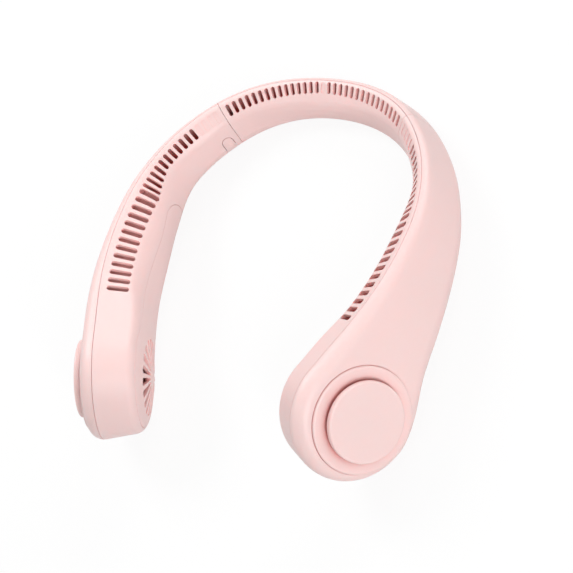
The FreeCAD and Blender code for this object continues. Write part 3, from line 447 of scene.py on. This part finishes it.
@dataclass(frozen=True)
class WhiteFloor:
    """Pale floor that looks white and still takes the object's shadow."""

    name: str
    tone: float = 0.93
    bounce: float = 0.6
    glow: float = 0.9
    roughness: float = 0.9

    def material(self) -> bpy.types.Material:
        """Build the finish.

        Returns:
            The material.
        """
        graph = Surface(self.name)
        seen = graph.seen()
        tone = graph.blend(seen, (self.bounce,) * 3, (self.tone,) * 3)
        graph.dress(Base_Color=tone, Roughness=self.roughness)
        white = graph.node("ShaderNodeEmission", None, {"Strength": 1.0})
        mix = graph.node(
            "ShaderNodeMixShader",
            None,
            {0: seen * self.glow, 1: graph.shader.outputs[0], 2: white.outputs[0]},
        )
        graph.feed(graph.output.inputs[0], mix.outputs[0])
        return graph.material


SHELL_PINK: Triple = (0.905, 0.635, 0.615)
SHELL_GLOW = 0.25
# Painted shade colours: a saturated red painted inside the shells, in gaps and in
# grooves, and a darker red painted in the gaps and grooves of the intake bezels.
PAINTED_SHADE_RED: Triple = (0.96, 0.54, 0.52)
GAP_PAINTED_SHADE_RED: Triple = (0.86, 0.33, 0.31)
INNER_PINK: Triple = (0.95, 0.64, 0.62)
FINISHES = {
    "shell_plastic": SatinPlastic(
        "shell_satin_painted_shade", SHELL_PINK, painted_shade=PAINTED_SHADE_RED, glow=SHELL_GLOW
    ),
    # The caps get no painted shade; the bezels get the darker painted shade.
    CAP_FINISH: SatinPlastic("cap_satin", SHELL_PINK, glow=SHELL_GLOW),
    BEZEL_FINISH: SatinPlastic("bezel_satin_painted_shade", SHELL_PINK, painted_shade=GAP_PAINTED_SHADE_RED, glow=SHELL_GLOW),
    "inner_plastic": SatinPlastic("inner_satin", INNER_PINK, 0.5),
    "wheel_plastic": SatinPlastic("wheel_satin", (0.80, 0.48, 0.46), 0.45),
    "motor_steel": TurnedMetal("lamination_steel", (0.38, 0.38, 0.40), 0.45),
    "magnet": TurnedMetal("magnet_coat", (0.05, 0.05, 0.055), 0.55, 0.4),
    "steel": TurnedMetal("ground_steel", (0.62, 0.62, 0.64), 0.22),
    "bearing_bronze": TurnedMetal("sintered_bronze", (0.42, 0.27, 0.12), 0.5),
    "cell_sleeve": SatinPlastic("cell_sleeve", (0.03, 0.09, 0.28), 0.3, 900.0),
    "board_laminate": BoardLaminate("board_laminate", (0.015, 0.12, 0.05)),
    "switch_plastic": SatinPlastic("switch_black", (0.015, 0.015, 0.017), 0.5),
    "socket_steel": TurnedMetal("socket_plate", (0.66, 0.66, 0.67), 0.25),
    "loom_sheath": SatinPlastic("loom_sheath", (0.02, 0.02, 0.022), 0.55, 1500.0),
}


@dataclass
class Dresser:
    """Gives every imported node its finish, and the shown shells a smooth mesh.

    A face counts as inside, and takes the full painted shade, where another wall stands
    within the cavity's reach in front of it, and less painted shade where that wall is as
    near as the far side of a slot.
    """

    frame: Dict[str, Any]
    weld: float = 2e-6
    crease: float = math.radians(32.0)
    cavity: float = 0.045
    clear: float = 2e-5
    slot: float = 0.004
    slot_wall_shade: float = 0.45
    slots: Dict[str, str] = field(init=False)
    bodies: Dict[str, str] = field(init=False)
    finishes: Dict[str, bpy.types.Material] = field(init=False)
    walls: BVHTree = field(init=False)

    def __post_init__(self) -> None:
        """Read the record's slots and bodies and build the finishes."""
        record = self.frame["record"]
        self.slots = {row["node"]: row["material_slot"] for row in record["subparts"]}
        self.bodies = {
            node: body
            for body, nodes in record["behaviour"]["bodies"].items()
            for node in nodes
        }
        self.finishes = {slot: finish.material() for slot, finish in FINISHES.items()}
        self.walls = self.solid_walls()

    def solid_walls(self) -> BVHTree:
        """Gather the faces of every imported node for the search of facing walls.

        Returns:
            The search tree.
        """
        points: List[Vector] = []
        faces: List[List[int]] = []
        for item in self.frame["nodes"].values():
            base = len(points)
            points.extend(vertex.co.copy() for vertex in item.data.vertices)
            faces.extend([base + k for k in face.vertices] for face in item.data.polygons)
        return BVHTree.FromPolygons(points, faces)

    def mark_painted_shade(self, form: bmesh.types.BMesh) -> None:
        """Mark the faces for painted shade that look at another wall nearby, the walls of
        slots less.

        Args:
            form: the mesh to mark.
        """
        layer = form.faces.layers.float.new(PAINTED_SHADE_MARK)
        for face in form.faces:
            start = face.calc_center_median() + face.normal * self.clear
            far = self.walls.ray_cast(start, face.normal, self.cavity)[3]
            if far is not None:
                # Painted shade: full in a cavity, a share of it on the walls of a slot.
                face[layer] = self.slot_wall_shade if far < self.slot else 1.0

    def finish_of(self, node: str) -> bpy.types.Material:
        """Give the material of a node; caps have their own without painted shade, bezels
        their own with a darker painted shade beside the gap.

        Args:
            node: name of the node.

        Returns:
            The material.
        """
        own = (name for name in (CAP_FINISH, BEZEL_FINISH) if name in node)
        return self.finishes[next(own, self.slots[node])]

    def coat(self, node: str) -> None:
        """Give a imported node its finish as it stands.

        Args:
            node: name of the node.
        """
        mesh = self.frame["nodes"][node].data
        mesh.materials.clear()
        mesh.materials.append(self.finish_of(node))
        LOG.info("coated %s", node)

    def smooth_copy(self, node: str) -> None:
        """Replace a node by a welded copy with smooth faces and crisp edges.

        Args:
            node: name of the node.
        """
        form = bmesh.new()
        form.from_mesh(self.frame["nodes"][node].data)
        bmesh.ops.remove_doubles(form, verts=form.verts, dist=self.weld)
        form.normal_update()
        # The intake parts get no painted-shade mark.
        if INTAKE not in node:
            self.mark_painted_shade(form)
        for face in form.faces:
            face.smooth = True
        for edge in form.edges:
            paired = len(edge.link_faces) == 2
            edge.smooth = not paired or edge.calc_face_angle() < self.crease
        mesh = bpy.data.meshes.new(node + "_skin")
        form.to_mesh(mesh)
        form.free()
        piece = bpy.data.objects.new(node + "_skin", mesh)
        bpy.context.scene.collection.objects.link(piece)
        mesh.materials.append(self.finish_of(node))
        weighted = piece.modifiers.new("even_shading", "WEIGHTED_NORMAL")
        weighted.keep_sharp = True
        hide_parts(node)
        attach(piece, self.bodies[node])
        LOG.info("smoothed %s", node)


@dataclass
class Collar:
    """The whole collar: shells and covers that show, and what they hold."""

    dresser: Dresser
    single: Tuple[str, ...] = (
        "back_slotted_shell",
        "back_outer_cover",
        "power_button",
        "charge_socket",
    )
    paired: Tuple[str, ...] = (
        "arm_frame",
        "outer_cover",
        "inner_cover",
        "intake_bezel",
        "intake_cap",
        "fan_scroll",
        "impeller",
        "motor_mount",
    )

    def build(self) -> None:
        """Dress every node once."""
        smooth = set(self.single)
        for side in Side:
            smooth.update(side.value + name for name in self.paired)
        for node in self.dresser.slots:
            if node in smooth:
                self.dresser.smooth_copy(node)
            else:
                self.dresser.coat(node)


@dataclass(frozen=True)
class SoftLamp:
    """A square lamp, aimed along the camera's right, up and back at the collar."""

    name: str
    way: Triple
    power: float
    size: float = 0.7
    far: float = 1.6
    target: Triple = (0.0, 0.0, 0.034)

    def light(self) -> bpy.types.Light:
        """Make the lamp's light.

        Returns:
            The light.
        """
        data = bpy.data.lights.new(self.name, "AREA")
        data.shape = "SQUARE"
        data.size = self.size
        data.energy = self.power
        return data


@dataclass(frozen=True)
class SpotLamp:
    """A soft round lamp, aimed the same way at one side of the collar."""

    name: str
    way: Triple
    power: float
    target: Triple
    far: float = 1.1
    cone: float = math.radians(13.0)
    fade: float = 1.0
    radius: float = 0.15

    def light(self) -> bpy.types.Light:
        """Make the lamp's light.

        Returns:
            The light.
        """
        data = bpy.data.lights.new(self.name, "SPOT")
        data.energy = self.power
        data.spot_size = self.cone
        data.spot_blend = self.fade
        data.shadow_soft_size = self.radius
        return data


LAMPS = (
    SoftLamp("left_lamp", (-0.75, 0.6, 0.2), 13.5),
    SoftLamp("top_lamp", (0.1, 0.95, 0.3), 8.0),
    SoftLamp("front_lamp", (0.2, -0.25, 0.94), 9.5, size=0.6),
    SpotLamp("inner_lamp", (0.37, -0.47, 0.8), 32.0, target=(-0.08, 0.03, 0.04)),
)


@dataclass
class Studio:
    """Floor, lamps, world and the camera at the photograph's viewpoint."""

    eye: Triple = (0.64873, -0.23684, 0.91863)
    right: Triple = (0.8178, 0.2510, -0.5179)
    up: Triple = (-0.0959, 0.9467, 0.3074)
    focal_pixels: float = 2200.0
    sensor: float = 36.0
    clip_end: float = 20.0
    floor_half: float = 3.0
    floor_drop: float = 0.0005
    fill: float = 0.36
    axes: Tuple[Vector, Vector, Vector] = field(init=False)

    def __post_init__(self) -> None:
        """Square up the camera's axes."""
        right = Vector(self.right).normalized()
        back = right.cross(Vector(self.up)).normalized()
        self.axes = (right, back.cross(right), back)

    def camera(self) -> None:
        """Place the camera on the photograph's axes."""
        data = bpy.data.cameras.new("photo_camera")
        data.sensor_width = self.sensor
        data.lens = self.focal_pixels / PHOTO_PIXELS * self.sensor
        data.clip_end = self.clip_end
        view = bpy.data.objects.new("photo_camera", data)
        turn = Matrix(self.axes).transposed().to_4x4()
        view.matrix_world = Matrix.Translation(self.eye) @ turn
        bpy.context.scene.collection.objects.link(view)
        bpy.context.scene.camera = view

    def hang(self, lamp: Union[SoftLamp, SpotLamp]) -> None:
        """Hang a lamp and aim it at its target.

        Args:
            lamp: the lamp.
        """
        item = bpy.data.objects.new(lamp.name, lamp.light())
        parts = (axis * part for axis, part in zip(self.axes, lamp.way))
        ray = sum(parts, Vector()).normalized()
        item.location = Vector(lamp.target) + ray * lamp.far
        item.rotation_euler = ray.to_track_quat("Z", "Y").to_euler()
        bpy.context.scene.collection.objects.link(item)

    def floor(self) -> None:
        """Lay the pale floor."""
        form = bmesh.new()
        bmesh.ops.create_grid(
            form,
            x_segments=2,
            y_segments=2,
            size=self.floor_half,
            matrix=Matrix.Translation((0.0, 0.0, -self.floor_drop)),
        )
        mesh = bpy.data.meshes.new("floor")
        form.to_mesh(mesh)
        form.free()
        item = bpy.data.objects.new("floor", mesh)
        bpy.context.scene.collection.objects.link(item)
        mesh.materials.append(WhiteFloor("floor_white").material())

    def world(self) -> None:
        """Fill light from all round, white where it is seen."""
        world = bpy.data.worlds.new("studio")
        world.use_nodes = True
        bpy.context.scene.world = world
        graph = Graph(world.node_tree)
        ground = world.node_tree.nodes["Background"]
        graph.feed(ground.inputs["Color"], (1.0, 1.0, 1.0, 1.0))
        graph.feed(ground.inputs["Strength"], graph.seen().most(self.fill))

    def build(self) -> None:
        """Set the whole studio."""
        self.camera()
        self.floor()
        self.world()
        for lamp in LAMPS:
            self.hang(lamp)
        bpy.context.scene.view_settings.view_transform = "Standard"


def main() -> None:
    """Build the scene."""
    logging.basicConfig(level=logging.INFO, format="%(name)s %(message)s")
    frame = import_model()
    Collar(Dresser(frame)).build()
    Studio().build()


if __name__ == "__main__":
    main()
